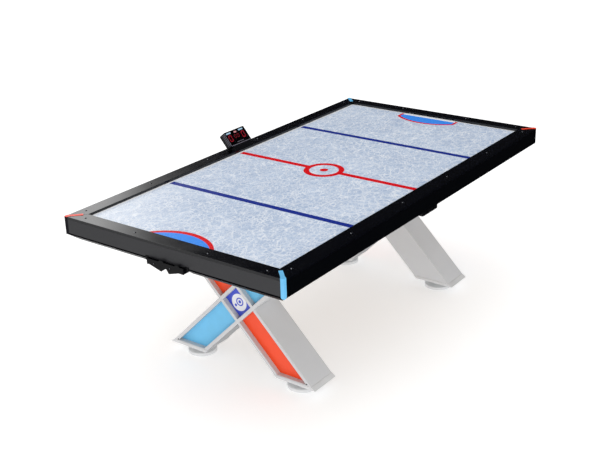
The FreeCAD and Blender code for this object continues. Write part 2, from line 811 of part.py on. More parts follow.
def make_scoreboard_housing():
    """Shell open at the front, with two holes for buttons in its away end."""
    body = new_body("scoreboard_housing")
    half = "(board_width/2)"
    outer = rectangle(f"-{half}", half, "0", "board_height")
    pad(body, polygon(body, "XZ_Plane", outer), "board_thickness", against=True)
    round_edges(body, lambda edge: runs_along(edge, Y), "board_radius")
    inner = rectangle(f"-{half}+board_bezel", f"{half}-board_bezel", "board_bezel", "board_height-board_bezel")
    pocket(body, polygon(body, "XZ_Plane", inner, "1"), "board_thickness-board_wall+1")
    spots = button_spots()
    holes = circles(body, "YZ_Plane", spots, "button_radius+0.05", f"{half}+1")
    pocket(body, holes, "board_bezel+2")
    lean_back(body)


def button_spots():
    """Middle of each button, as depth and height in the upright scoreboard."""
    return [("board_thickness/2", f"board_height*{share}") for share in ("0.35", "0.65")]


def make_scoreboard_display():
    """Board behind the lens that carries the digits."""
    body = new_body("scoreboard_display")
    gap = "(board_bezel+0.2)"
    plan = rectangle(f"-board_width/2+{gap}", f"board_width/2-{gap}", gap, f"board_height-{gap}")
    pad(body, polygon(body, "XZ_Plane", plan, "-(lens_thickness+0.8)"), "display_thickness", against=True)
    lean_back(body)


def make_scoreboard_lens():
    """Front lens set into the housing's mouth."""
    body = new_body("scoreboard_lens")
    gap = "(board_bezel+0.1)"
    plan = rectangle(f"-board_width/2+{gap}", f"board_width/2-{gap}", gap, f"board_height-{gap}")
    pad(body, polygon(body, "XZ_Plane", plan, "-0.6"), "lens_thickness", against=True)
    lean_back(body)


def make_scoreboard_button(name, spot):
    """Round push button in the housing's away end."""
    body = new_body(f"button_{name}")
    half = "(board_width/2)"
    inner = f"{half}-board_bezel-0.5"
    pad(body, circles(body, "YZ_Plane", [spot], "button_radius", inner), "board_bezel+0.5+button_proud")
    pad(body, circles(body, "YZ_Plane", [spot], "button_radius+1.5", inner), "1.5", against=True)
    lean_back(body)


# ---------------------------------------------------------------- legs


def leg_point(run, across, lean):
    """A place in a leg's upright plane, run along a beam down from the crossing and across it."""
    return (f"{lean}*(({run})+({across}))/sqrt(2)", f"cross_height+(({across})-({run}))/sqrt(2)")


def level_cut(across, height):
    """The run at which a beam's line reaches a height."""
    return f"(({across})+sqrt(2)*(cross_height-({height})))"


def beam_outline(lean, half, start, end):
    """A beam's four corners. start and end are ("square", run) or ("level", height)."""

    def run_at(kind, across):
        return kind[1] if kind[0] == "square" else level_cut(across, kind[1])

    corners = [(start, f"-{half}"), (start, half), (end, half), (end, f"-{half}")]
    return [leg_point(run_at(kind, across), across, lean) for kind, across in corners]


# Each arm of the X: (start, end) of its body, its hollow and its recess, along the beam.
BEAM_HALF = "(beam_width/2)"
HOLLOW_HALF = "(beam_width/2-leg_wall)"
RECESS_HALF = "(beam_width/2-recess_border)"
FOOT_END = ("level", "beam_foot")
TOP_END = ("level", BEAM_TOP)
LOWER_RECESS = (("square", BEAM_HALF), ("level", "beam_foot+recess_foot"))
UPPER_RECESS = (("square", f"-{BEAM_HALF}"), ("level", f"{BEAM_TOP}-recess_border"))
BADGE_RECESS = (("square", f"-{RECESS_HALF}"), ("square", RECESS_HALF))


def make_beam(label, end_name, lean, body_ends, hollow_ends, recesses):
    """Hollow box beam of a leg, with shallow recesses in its outer face."""
    angle, sign = (0, "-") if end_name == "home" else (180, "+")
    body = new_body(label, angle, f"{sign}leg_offset")
    outside = polygon(body, "YZ_Plane", beam_outline(lean, BEAM_HALF, *body_ends))
    pad(body, outside, "leg_depth", both_ways=True)
    hollow = polygon(body, "YZ_Plane", beam_outline(lean, HOLLOW_HALF, *hollow_ends))
    pocket(body, hollow, "leg_depth-2*face_wall", both_ways=True)
    for recess in recesses:
        sketch = polygon(body, "YZ_Plane", beam_outline(lean, RECESS_HALF, *recess), "-leg_depth/2")
        pocket(body, sketch, "recess_depth", along=True)


def make_leg(end_name):
    below = ("level", "beam_foot-1")
    above = ("level", f"{BEAM_TOP}+1")
    make_beam(f"leg_{end_name}_long_beam", end_name, "1", (TOP_END, FOOT_END), (above, below),
              (LOWER_RECESS, UPPER_RECESS, BADGE_RECESS))
    make_beam(f"leg_{end_name}_lower_arm", end_name, "-1", (("square", BEAM_HALF), FOOT_END),
              (("square", f"{BEAM_HALF}+leg_wall"), below), (LOWER_RECESS,))
    make_beam(f"leg_{end_name}_upper_arm", end_name, "-1", (TOP_END, ("square", f"-{BEAM_HALF}")),
              (above, ("square", f"-{BEAM_HALF}-leg_wall")), (UPPER_RECESS,))


def make_inserts(label, home_lean, recesses, ends=ENDS):
    """Flat coloured panels at the bottom of the recesses, on beams that lean alike on both ends."""
    body = new_body(label)
    back = "(leg_offset+leg_depth/2-recess_depth)"
    for end_name in ends:
        home = end_name == "home"
        sketch = new_sketch(body, "YZ_Plane", f"-{back}" if home else back)
        for recess in recesses:
            lean = home_lean if home else -home_lean
            add_outline(sketch, beam_outline(lean, RECESS_HALF, *recess))
        pad(body, sketch, "insert_thickness", against=home)


def leg_bolt_spots():
    """The leg bolts' places in the table's frame."""
    reach = "(leg_offset-leg_depth/2-25)"
    return [(f"{a}{reach}", f"{b}{place}") for place in ("270", "400") for a in "-+" for b in "-+"]


def make_leg_plates():
    """Steel plates between the legs' tops and the cabinet, with a flange towards the middle."""
    body = new_body("leg_plates")
    outer = "(leg_offset+leg_depth/2)"
    inner = "(leg_offset-leg_depth/2-plate_flange)"
    sketch = new_sketch(body, "XY_Plane", BEAM_TOP)
    for x_ends in ((inner, outer), (f"-{outer}", f"-{inner}")):
        add_outline(sketch, rectangle(*x_ends, "225", "450"))
        add_outline(sketch, rectangle(*x_ends, "-450", "-225"))
    pad(body, sketch, "plate_thickness")
    drill(body, leg_bolt_spots(), "plate_bolt_radius+hole_clearance", f"{CABINET_FOOT}+1", "plate_thickness+2")


def make_foot_caps():
    """Moulded shoes that carry on each beam's slope, bored for the levelling feet."""
    body = new_body("foot_caps")
    half = "(beam_width/2+cap_flare)"
    corners = [
        ("beam_foot", f"-{half}"),
        ("beam_foot", half),
        ("cap_foot", f"({half}+cap_spread)"),
        ("cap_foot", f"-{half}"),
    ]
    for x in ("-leg_offset", "leg_offset"):
        sketch = new_sketch(body, "YZ_Plane", x)
        for lean in ("1", "-1"):
            add_outline(sketch, [leg_point(level_cut(a, height), a, lean) for height, a in corners])
        pad(body, sketch, "leg_depth+2*cap_flare", both_ways=True)
    spots = [(f"{a}leg_offset", f"{b}foot_offset") for a in "-+" for b in "-+"]
    drill(body, spots, "stem_radius+stem_clearance", "beam_foot+1", "40")


def make_levelling_foot(name, x_sign, y_sign):
    """Round foot on a threaded stem."""
    body = new_body(f"levelling_foot_{name}", 0, f"{x_sign}leg_offset", f"{y_sign}foot_offset")
    neck = "(cap_foot-foot_gap)"
    revolve(body, [
        ("0", "0"),
        ("foot_radius-2", "0"),
        ("foot_radius", "2"),
        ("foot_radius", "foot_height-3"),
        ("foot_radius-3", "foot_height"),
        ("neck_radius+6", "foot_height+2"),
        ("neck_radius", "foot_height+8"),
        ("neck_radius", neck),
        ("stem_radius", neck),
        ("stem_radius", "stem_top"),
        ("0", "stem_top"),
    ])


# ---------------------------------------------------------------- assembly


def make_table():
    make_sheet()
    for side in SIDES:
        make_rail(side)
        make_apron(side)
        make_bevel(side)
        make_stringers(side)
    make_playfield()
    make_floor_panel()
    make_corner_trim("corner_trim_home_front", 0, f"-{HALF_L}", f"-{HALF_W}")
    make_corner_trim("corner_trim_away_front", 90, HALF_L, f"-{HALF_W}")
    make_corner_trim("corner_trim_away_score", 180, HALF_L, HALF_W)
    make_corner_trim("corner_trim_home_score", 270, f"-{HALF_L}", HALF_W)
    make_rail_bolts()
    for end_name in ENDS:
        make_goal_box(end_name)
        make_puck_return(end_name)
    make_goal_sensors()
    small = ("screw_radius", "screw_head_radius", "screw_head_height", "screw_reach")
    ears = [(f"{sign}(chute_width/2+box_wall+ear_width/2)", "ear_hole") for sign in ("-", "")]
    make_fasteners("return_screws", small,
                   ("YZ_Plane", ears, f"-({HALF_L}+box_wall)", False),
                   ("YZ_Plane", ears, f"{HALF_L}+box_wall", True))
    make_blower_housing()
    make_blower_motor()
    make_blower_impeller()
    make_inlet_grille()
    make_fasteners("blower_screws", small, ("XY_Plane", flange_spots(), f"{CABINET_FOOT}-3", False))
    make_power_box()
    make_power_switch()
    make_power_socket()
    make_scoreboard_stand()
    make_scoreboard_housing()
    make_scoreboard_display()
    make_scoreboard_lens()
    for name, spot in zip(("reset", "start"), button_spots()):
        make_scoreboard_button(name, spot)
    for end_name in ENDS:
        make_leg(end_name)
        make_inserts(f"badge_plate_{end_name}", 1, (BADGE_RECESS,), (end_name,))
    make_inserts("inserts_blue", 1, (LOWER_RECESS, UPPER_RECESS))
    make_inserts("inserts_orange", -1, (LOWER_RECESS, UPPER_RECESS))
    make_leg_plates()
    big = ("plate_bolt_radius", "plate_bolt_head", "5", "19")
    make_fasteners("leg_bolts", big, ("XY_Plane", leg_bolt_spots(), BEAM_TOP, False))
    make_foot_caps()
    for name, x_sign, y_sign in (("home_front", "-", "-"), ("home_score", "-", "+"),
                                 ("away_front", "+", "-"), ("away_score", "+", "+")):
        make_levelling_foot(name, x_sign, y_sign)


def check_document():
    """Stops if any object failed to build or any sub-part is empty or invalid."""
    doc.recompute()
    failed = [o.Label for o in doc.Objects if {"Invalid", "Error"} & set(o.State)]
    bad = [b.Label for b in sub_parts if b.Shape.isNull() or not b.Shape.isValid()]
    if failed or bad:
        raise RuntimeError(f"failed objects: {failed}; bad shapes: {bad}")


def write_parts():
    os.makedirs("parts", exist_ok=True)
    for body in sub_parts:
        body.Shape.exportStep(f"parts/{body.Label}.step")


make_table()
check_document()
write_parts()
print(f"{len(sub_parts)} sub-parts written")
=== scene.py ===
import math

import bmesh
import bpy
from mathutils import Matrix, Vector


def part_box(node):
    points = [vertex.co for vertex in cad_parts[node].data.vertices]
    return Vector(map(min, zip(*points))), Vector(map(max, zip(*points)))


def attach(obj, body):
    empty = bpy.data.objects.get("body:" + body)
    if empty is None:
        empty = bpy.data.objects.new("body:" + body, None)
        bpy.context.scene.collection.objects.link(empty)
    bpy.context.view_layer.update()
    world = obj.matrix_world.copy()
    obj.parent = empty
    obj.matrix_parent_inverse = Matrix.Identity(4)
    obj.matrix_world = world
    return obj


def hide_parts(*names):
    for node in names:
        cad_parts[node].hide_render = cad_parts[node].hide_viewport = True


# Looks of the air hockey table. Metres, in the CAD frame: X along the table, Y towards the scoreboard,
# Z up from the floor. "home" is the -X end, "front" the -Y side.

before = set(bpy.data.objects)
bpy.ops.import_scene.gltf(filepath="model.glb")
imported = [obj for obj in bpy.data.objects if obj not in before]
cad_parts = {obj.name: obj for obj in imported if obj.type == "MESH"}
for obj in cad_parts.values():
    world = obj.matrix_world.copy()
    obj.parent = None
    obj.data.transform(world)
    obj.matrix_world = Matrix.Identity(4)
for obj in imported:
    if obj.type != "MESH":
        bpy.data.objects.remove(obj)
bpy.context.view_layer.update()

TABLE = "table"
ENDS = ("home", "away")
SIDES = ("score", "home", "front", "away")
CORNERS = ("home_front", "home_score", "away_front", "away_score")

# Vertices this close are one; faces this near to level with each other are one face.
SAME_SPOT = 1e-6
LEVEL_WITHIN = math.radians(0.5)
# Edges up to the first angle are shaded smooth; edges above the second can be rounded.
SMOOTH_BELOW = math.radians(35)
ROUND_ABOVE = math.radians(30)
NO_SIZE = 1e-9
# A face looks towards a direction when its normal's product with it is above this.
FACING = 0.3

X = Vector((1, 0, 0))
Y = Vector((0, 1, 0))
Z = Vector((0, 0, 1))


# ---------------------------------------------------------------- meshes


def clean_mesh(node):
    """The CAD node's mesh as a bmesh with shared vertices and whole flat faces."""
    bm = bmesh.new()
    bm.from_mesh(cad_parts[node].data)
    bmesh.ops.remove_doubles(bm, verts=bm.verts, dist=SAME_SPOT)
    bmesh.ops.dissolve_limit(bm, angle_limit=LEVEL_WITHIN, verts=bm.verts, edges=bm.edges)
    return bm


def add_piece(name, bm, material, body=TABLE, replaces=()):
    """Turns a bmesh into a piece that rides on a body, smooth except at its sharp edges."""
    bmesh.ops.recalc_face_normals(bm, faces=bm.faces)
    for face in bm.faces:
        face.smooth = True
    for edge in bm.edges:
        edge.smooth = not (len(edge.link_faces) == 2 and edge.calc_face_angle(0.0) > SMOOTH_BELOW)
    mesh = bpy.data.meshes.new(name)
    bm.to_mesh(mesh)
    bm.free()
    mesh.materials.append(material)
    piece = bpy.data.objects.new(name, mesh)
    bpy.context.scene.collection.objects.link(piece)
    weights = piece.modifiers.new("flat_faces", "WEIGHTED_NORMAL")
    weights.weight = 100
    weights.keep_sharp = True
    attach(piece, body)
    if replaces:
        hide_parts(*replaces)


def soften_edges(bm, width, segments):
    """Rounds the long sharp edges, in place."""
    edges = [e for e in bm.edges if len(e.link_faces) == 2 and e.calc_length() > 4 * width
             and abs(e.calc_face_angle(0.0)) > ROUND_ABOVE]
    if edges:
        bmesh.ops.bevel(bm, geom=edges, offset=width, segments=segments, profile=0.5, affect="EDGES",
                        clamp_overlap=True)


def finish_node(node, width, material, body=TABLE, segments=2):
    """A copy of a CAD node with edges rounded to a width, shown in its place."""
    bm = clean_mesh(node)
    soften_edges(bm, width, segments)
    add_piece(f"{node}_finish", bm, material, body, (node,))


def lathe_into(bm, profile, centre, axis, steps):
    """A closed turned solid: profile is radius and height pairs from the axis to the axis."""
    turn = Z.rotation_difference(axis).to_matrix()
    rings = []
    for radius, height in profile:
        if radius < NO_SIZE:
            rings.append([bm.verts.new(centre + turn @ Vector((0, 0, height)))])
            continue
        ring = []
        for step in range(steps):
            angle = 2 * math.pi * step / steps
            spot = Vector((radius * math.cos(angle), radius * math.sin(angle), height))
            ring.append(bm.verts.new(centre + turn @ spot))
        rings.append(ring)
    for low, high in zip(rings, rings[1:]):
        for i in range(steps):
            j = (i + 1) % steps
            corners = [low[i % len(low)], low[j % len(low)], high[j % len(high)], high[i % len(high)]]
            bm.faces.new(list(dict.fromkeys(corners)))


def prism_into(bm, outline, place, depth):
    """A flat-topped solid of an outline of (u, v) pairs, standing depth above place's XY plane."""
    low = [bm.verts.new(place @ Vector((u, v, 0))) for u, v in outline]
    high = [bm.verts.new(place @ Vector((u, v, depth))) for u, v in outline]
    bm.faces.new(low[::-1])
    bm.faces.new(high)
    count = len(outline)
    for i in range(count):
        j = (i + 1) % count
        bm.faces.new((low[i], low[j], high[j], high[i]))


def rounded_rectangle(width, height, radius, centre=(0, 0), steps=6):
    """An outline with round corners."""
    points = []
    for turn in range(4):
        a = math.radians(90 * turn)
        cx = centre[0] + (width / 2 - radius) * (1 if turn in (0, 3) else -1)
        cy = centre[1] + (height / 2 - radius) * (1 if turn in (0, 1) else -1)
        for step in range(steps + 1):
            angle = a + math.radians(90 * step / steps)
            points.append((cx + radius * math.cos(angle), cy + radius * math.sin(angle)))
    return points


def circle_outline(radius, centre=(0, 0), steps=48):
    """An outline of a circle."""
    turns = [2 * math.pi * i / steps for i in range(steps)]
    return [(centre[0] + radius * math.cos(a), centre[1] + radius * math.sin(a)) for a in turns]


def islands(node):
    """The box of each separate solid of a CAD node, as (low, high) corners."""
    bm = clean_mesh(node)
    seen, boxes = set(), []
    for start in bm.verts:
        if start in seen:
            continue
        stack, members = [start], []
        seen.add(start)
        while stack:
            vertex = stack.pop()
            members.append(vertex.co.copy())
            for edge in vertex.link_edges:
                other = edge.other_vert(vertex)
                if other not in seen:
                    seen.add(other)
                    stack.append(other)
        low = Vector([min(c[i] for c in members) for i in range(3)])
        high = Vector([max(c[i] for c in members) for i in range(3)])
        boxes.append((low, high))
    bm.free()
    return boxes


def face_place(node, towards):
    """A frame on the node's largest face that looks towards a direction: X across it, Y up it."""
    bm = clean_mesh(node)
    face = max((f for f in bm.faces if f.normal.dot(towards) > FACING), key=lambda f: f.calc_area())
    normal = face.normal.normalized()
    middle = sum((v.co for v in face.verts), Vector()) / len(face.verts)
    across = X if abs(normal.x) < 0.5 else (-Y if normal.x < 0 else Y)
    up = normal.cross(across).normalized()
    bm.free()
    place = Matrix((across, up, normal)).transposed().to_4x4()
    place.translation = middle
    return place


def lifted(place, height):
    """The same frame, higher above its face."""
    return place @ Matrix.Translation((0, 0, height))


# ---------------------------------------------------------------- materials


def srgb(red, green, blue):
    """A linear colour from a screen colour of 0 to 255."""
    parts = [c / 255 for c in (red, green, blue)]
    return [c / 12.92 if c <= 0.04045 else ((c + 0.055) / 1.055) ** 2.4 for c in parts] + [1.0]


def tinted(colour, factor, lift=0.0):
    """A colour made darker or lighter."""
    return [min(1, c * factor + lift) for c in colour[:3]] + [1]


class Graph:
    """One material's nodes, with short calls for the ones used here."""

    def __init__(self, name):
        self.material = bpy.data.materials.new(name)
        self.material.use_nodes = True
        self.tree = self.material.node_tree
        self.shader = self.tree.nodes["Principled BSDF"]
        self.place = self.node("ShaderNodeTexCoord").outputs["Object"]

    def node(self, kind, **settings):
        made = self.tree.nodes.new(kind)
        for key, value in settings.items():
            setattr(made, key, value)
        return made

    def feed(self, socket, value):
        """Links a socket, or sets a number or colour on it."""
        if isinstance(value, bpy.types.NodeSocket):
            self.tree.links.new(value, socket)
        else:
            socket.default_value = value

    def math(self, operation, first, second=0.0):
        made = self.node("ShaderNodeMath", operation=operation)
        self.feed(made.inputs[0], first)
        self.feed(made.inputs[1], second)
        return made.outputs[0]

    def mix(self, factor, first, second):
        made = self.node("ShaderNodeMix", data_type="RGBA")
        self.feed(made.inputs["Factor"], factor)
        self.feed(made.inputs["A"], first)
        self.feed(made.inputs["B"], second)
        return made.outputs["Result"]

    def product(self, *factors):
        """Numbers and sockets multiplied in turn."""
        result = factors[0]
        for factor in factors[1:]:
            result = self.math("MULTIPLY", result, factor)
        return result

    def within(self, value, centre, half_width):
        """1 where the value lies within half_width of the centre, else 0."""
        distance = self.math("ABSOLUTE", self.math("SUBTRACT", value, centre))
        return self.math("LESS_THAN", distance, half_width)

    def moved(self, scale=(1, 1, 1), turn=0.0):
        made = self.node("ShaderNodeMapping")
        self.feed(made.inputs["Vector"], self.place)
        made.inputs["Scale"].default_value = scale
        made.inputs["Rotation"].default_value = (0, 0, turn)
        return made.outputs["Vector"]

    def noise(self, scale, detail=3.0, vector=None, distortion=0.0, rough=0.5):
        made = self.node("ShaderNodeTexNoise")
        self.feed(made.inputs["Vector"], vector or self.place)
        made.inputs["Scale"].default_value = scale
        made.inputs["Detail"].default_value = detail
        made.inputs["Roughness"].default_value = rough
        made.inputs["Distortion"].default_value = distortion
        return made.outputs["Fac"]

    def cracks(self, scale, width, vector):
        """Thin straight lines between random cells: 1 on a line, falling to 0 at width metres from it."""
        made = self.node("ShaderNodeTexVoronoi", feature="DISTANCE_TO_EDGE")
        self.feed(made.inputs["Vector"], vector)
        made.inputs["Scale"].default_value = scale
        return self.span(made.outputs["Distance"], 0.0, width * scale, 1.0, 0.0)

    def span(self, value, low, high, to_low=0.0, to_high=1.0):
        made = self.node("ShaderNodeMapRange")
        self.feed(made.inputs["Value"], value)
        limits = {"From Min": low, "From Max": high, "To Min": to_low, "To Max": to_high}
        for key, number in limits.items():
            made.inputs[key].default_value = number
        return made.outputs["Result"]

    def axes(self):
        made = self.node("ShaderNodeSeparateXYZ")
        self.feed(made.inputs[0], self.place)
        return made.outputs[0], made.outputs[1], made.outputs[2]

    def dark_below(self, height, shade, specular, dark):
        """Turns the part below a height dull and dark: the new shade and specular level."""
        low = self.math("LESS_THAN", self.axes()[2], height)
        dull = self.product(self.math("SUBTRACT", 1.0, low), specular)
        return self.mix(low, shade, dark), dull

    def bump(self, height, distance, strength=1.0):
        made = self.node("ShaderNodeBump")
        made.inputs["Distance"].default_value = distance
        made.inputs["Strength"].default_value = strength
        self.feed(made.inputs["Height"], height)
        self.feed(self.shader.inputs["Normal"], made.outputs["Normal"])

    def finish(self, **inputs):
        """Sets the shader's inputs, whose names take underscores for spaces, and gives the material."""
        for key, value in inputs.items():
            self.feed(self.shader.inputs[key.replace("_", " ")], value)
        return self.material


def laminate(name, colour, roughness, specular=0.5, along=(1, 1, 1), foot=None):
    """Satin laminate: uneven tone, pressed grain and light rubs; below the foot height, painted shade
    turns it black.
    """
    g = Graph(name)
    tone = g.noise(6.0, 4.0)
    grain = g.noise(420.0, 2.0, g.moved(along))
    rubs = g.span(g.noise(26.0, 8.0, g.moved((1, 1, 1), 0.6), 1.2, 0.75), 0.62, 0.78)
    shade = g.mix(tone, tinted(colour, 0.82), tinted(colour, 1.18, 0.0006))
    shade = g.mix(g.product(rubs, 0.35), shade, tinted(colour, 1.7, 0.004))
    # painted shade: a near black band without gloss below the foot height
    if foot:
        shade, specular = g.dark_below(foot, shade, specular, srgb(6, 6, 9))
    gloss = g.span(tone, 0.3, 0.7, roughness - 0.04, roughness + 0.05)
    g.bump(grain, 0.00004, 0.4)
    return g.finish(Base_Color=shade, Roughness=g.math("ADD", gloss, g.product(rubs, 0.1)),
                    Specular_IOR_Level=specular)


def plastic(name, colour, roughness, texture=700.0, depth=0.00008, specular=0.5, foot=None,
            foot_shade=None):
    """Moulded plastic with a fine pebbled skin; below the foot height it takes the foot's shade."""
    g = Graph(name)
    tone = g.noise(14.0, 3.0)
    pebble = g.noise(texture, 2.0)
    g.bump(pebble, depth, 0.6)
    shade = g.mix(tone, tinted(colour, 0.88), tinted(colour, 1.1, 0.0008))
    if foot:
        shade, specular = g.dark_below(foot, shade, specular, foot_shade)
    return g.finish(Base_Color=shade, Specular_IOR_Level=specular,
                    Roughness=g.span(tone, 0.3, 0.7, roughness - 0.05, roughness + 0.06))


def metal(name, colour, roughness, stretch=(1, 1, 30)):
    """Plated or brushed metal with fine drawn lines."""
    g = Graph(name)
    lines = g.noise(160.0, 4.0, g.moved(stretch))
    spots = g.noise(60.0, 4.0)
    g.bump(lines, 0.00003, 0.5)
    shade = g.mix(g.span(spots, 0.35, 0.75), colour, tinted(colour, 0.75))
    return g.finish(Base_Color=shade, Metallic=1.0,
                    Roughness=g.span(lines, 0.2, 0.8, roughness - 0.06, roughness + 0.1))


def painted_board(name, colour, roughness=0.42):
    """Sprayed grey board: orange peel, faint mottling and a little dust."""
    g = Graph(name)
    tone = g.noise(5.0, 5.0, distortion=0.4)
    peel = g.noise(260.0, 3.0)
    dust = g.span(g.noise(900.0, 1.0), 0.72, 0.8)
    shade = g.mix(tone, tinted(colour, 0.93), tinted(colour, 1.05))
    shade = g.mix(g.product(dust, 0.25), shade, tinted(colour, 0.7))
    g.bump(peel, 0.00012, 0.5)
    gloss = g.span(peel, 0.2, 0.8, roughness - 0.05, roughness + 0.08)
    return g.finish(Base_Color=shade, Roughness=gloss)


def raw_board(name):
    """Unfinished fibreboard: brown with fibres of two sizes."""
    g = Graph(name)
    fibres = g.noise(300.0, 6.0, g.moved((1, 8, 8)), 0.8, 0.7)
    clumps = g.noise(40.0, 4.0)
    shade = g.mix(fibres, srgb(118, 92, 66), srgb(178, 148, 112))
    shade = g.mix(g.product(clumps, 0.4), shade, srgb(96, 74, 52))
    g.bump(fibres, 0.0002, 0.5)
    return g.finish(Base_Color=shade, Roughness=0.85)


# The rink's print, in metres on the playing surface: its half length and half width, the border's width,
# and half widths of the lines and of the ring.
RINK_END = 1.069
RINK_SIDE = 0.5355
BORDER = 0.011
CENTRE_LINE_HALF = 0.016
RING_RADIUS = 0.0875
RING_HALF = 0.014
DOT_RADIUS = 0.021
BLUE_LINE_X = 0.538
BLUE_LINE_HALF = 0.0165
RINK_RED = srgb(222, 2, 18)
RINK_BLUE = srgb(24, 46, 142)
CREASE_BLUE = srgb(62, 146, 248)
BORDER_WHITE = srgb(247, 249, 252)
# Each end's goal crease: the radius, depth and half width of its outline and of its fill.
HOME_CREASE = ((0.238, 0.105, 0.190), (0.234, 0.081, 0.190))
AWAY_CREASE = ((0.285, 0.134, 0.180), (0.275, 0.118, 0.166))
AWAY_CREASE_GAP = 0.026
# The skate marks' layers: each one's turn, stretch and number of cells in a metre.
SKATE_MARKS = (
    (0.3, 1.8, 12.0), (1.2, 1.5, 15.0), (2.0, 2.0, 18.0),
    (2.7, 1.6, 22.0), (0.8, 1.3, 27.0), (1.6, 1.7, 31.0),
)
MARK_WIDTH = 0.0020
HOLE_PITCH = 0.025
HOLE_RADIUS = 0.0008


def crease_masks(g, x, y):
    """Masks of the goal creases' outlines and of their fills: arcs between straight sides."""
    from_end = g.math("SUBTRACT", RINK_END, g.math("ABSOLUTE", x))
    at_away = g.math("GREATER_THAN", x, 0.0)
    at_home = g.math("SUBTRACT", 1.0, at_away)
    masks = []
    for part in (0, 1):
        ends = []
        for crease, at_end in ((HOME_CREASE, at_home), (AWAY_CREASE, at_away)):
            radius, depth, half_width = crease[part]
            reach = g.math("POWER", g.math("SUBTRACT", from_end, depth - radius), 2.0)
            distance = g.math("SQRT", g.math("ADD", reach, g.math("POWER", y, 2.0)))
            arc = g.math("LESS_THAN", distance, radius)
            ends.append(g.product(arc, g.within(y, 0.0, half_width), at_end))
        masks.append(g.math("MAXIMUM", *ends))
    return masks


def ice_print(name):
    """Glossy ice print: mottled pale blue with skate scratches, the rink's markings, the air holes and a
    painted reflection near one corner.
    """
    g = Graph(name)
    x, y, _ = g.axes()
    cloud = g.span(g.noise(7.0, 5.0, rough=0.65), 0.3, 0.7)
    grit = g.span(g.noise(150.0, 5.0, rough=0.8), 0.35, 0.65)
    shade = g.mix(cloud, srgb(154, 176, 208), srgb(180, 199, 225))
    shade = g.mix(g.product(grit, 0.4), shade, srgb(220, 228, 240))
    for index, (turn, stretch, scale) in enumerate(SKATE_MARKS):
        stroke = g.cracks(scale, MARK_WIDTH, g.moved((1.0, stretch, 1.0), turn))
        patches = g.noise(14.0 + 2 * index, 3.0, g.moved((1, 1, 1), turn + 0.5))
        gate = g.span(patches, 0.42, 0.58, 0.15, 1.0)
        shade = g.mix(g.product(stroke, gate, 0.95), shade, srgb(242, 246, 252))
    # painted reflection: paler towards the home end's scoreboard corner
    glare_near_corner = g.math("ADD", g.span(x, -1.1, -0.2, 0.5, 0.0), g.span(y, 0.1, 0.55, 0.0, 0.5))
    shade = g.mix(g.product(g.math("POWER", glare_near_corner, 3.0), 0.7), shade, srgb(240, 244, 249))
    # goal creases, the away one with a white gap at the rail
    outer, inner = crease_masks(g, x, y)
    shade = g.mix(outer, shade, RINK_RED)
    shade = g.mix(inner, shade, CREASE_BLUE)
    gap = g.product(inner, g.math("GREATER_THAN", x, RINK_END - AWAY_CREASE_GAP))
    shade = g.mix(gap, shade, srgb(250, 251, 253))
    # lines across the rink, ring and dot
    blue = g.within(g.math("ABSOLUTE", x), BLUE_LINE_X, BLUE_LINE_HALF)
    shade = g.mix(blue, shade, RINK_BLUE)
    middle = g.within(x, 0.0, CENTRE_LINE_HALF)
    radius = g.math("SQRT", g.math("ADD", g.math("POWER", x, 2.0), g.math("POWER", y, 2.0)))
    outside = g.math("GREATER_THAN", radius, RING_RADIUS)
    ring = g.within(radius, RING_RADIUS, RING_HALF)
    dot = g.math("LESS_THAN", radius, DOT_RADIUS)
    red = g.math("MAXIMUM", g.math("MAXIMUM", g.product(middle, outside), ring), dot)
    shade = g.mix(red, shade, RINK_RED)
    # white border along the rails
    end_gap = g.math("SUBTRACT", RINK_END, g.math("ABSOLUTE", x))
    side_gap = g.math("SUBTRACT", RINK_SIDE, g.math("ABSOLUTE", y))
    border = g.math("LESS_THAN", g.math("MINIMUM", end_gap, side_gap), BORDER)
    shade = g.mix(border, shade, BORDER_WHITE)
    # air holes on a square grid
    offsets = []
    for axis in (x, y):
        cell = g.math("SUBTRACT", g.math("FRACT", g.math("DIVIDE", axis, HOLE_PITCH)), 0.5)
        offsets.append(g.math("POWER", g.product(cell, HOLE_PITCH), 2.0))
    holes = g.math("LESS_THAN", g.math("SQRT", g.math("ADD", *offsets)), HOLE_RADIUS)
    shade = g.mix(holes, shade, srgb(60, 66, 78))
    g.bump(g.math("SUBTRACT", g.product(grit, 0.2), holes), 0.0003, 0.4)
    gloss = g.span(cloud, 0.0, 1.0, 0.22, 0.32)
    return g.finish(Base_Color=shade, Roughness=gloss, Specular_IOR_Level=0.25)


def smoked_lens(name):
    """Smoked acrylic that the digits show through."""
    g = Graph(name)
    haze = g.noise(30.0, 3.0)
    gloss = g.span(haze, 0.3, 0.7, 0.06, 0.14)
    material = g.finish(Base_Color=srgb(6, 6, 9), Roughness=gloss, Alpha=0.28)
    material.surface_render_method = "BLENDED"
    return material


def glow(name, colour, strength):
    """A lit display segment with a soft mottled core."""
    g = Graph(name)
    grain = g.noise(500.0, 2.0)
    shade = g.mix(grain, tinted(colour, 0.7), colour)
    return g.finish(Base_Color=shade, Emission_Color=shade, Emission_Strength=strength, Roughness=0.5)


# The end aprons get a band of painted shade at their feet, near black and without gloss. The orange trims
# show their colour on the rails' tops only: lower down each matches the apron beside it.
APRON_SHADE_LINE = 0.742
TRIM_FOOT = 0.8185
END_APRON = srgb(31, 31, 35)
# painted shade: the long aprons are the end aprons' black laminate, made darker for the weaker light on
# them
SHADED_LONG_APRON = srgb(2, 4, 9)
TRIM_ORANGE = srgb(240, 66, 38)

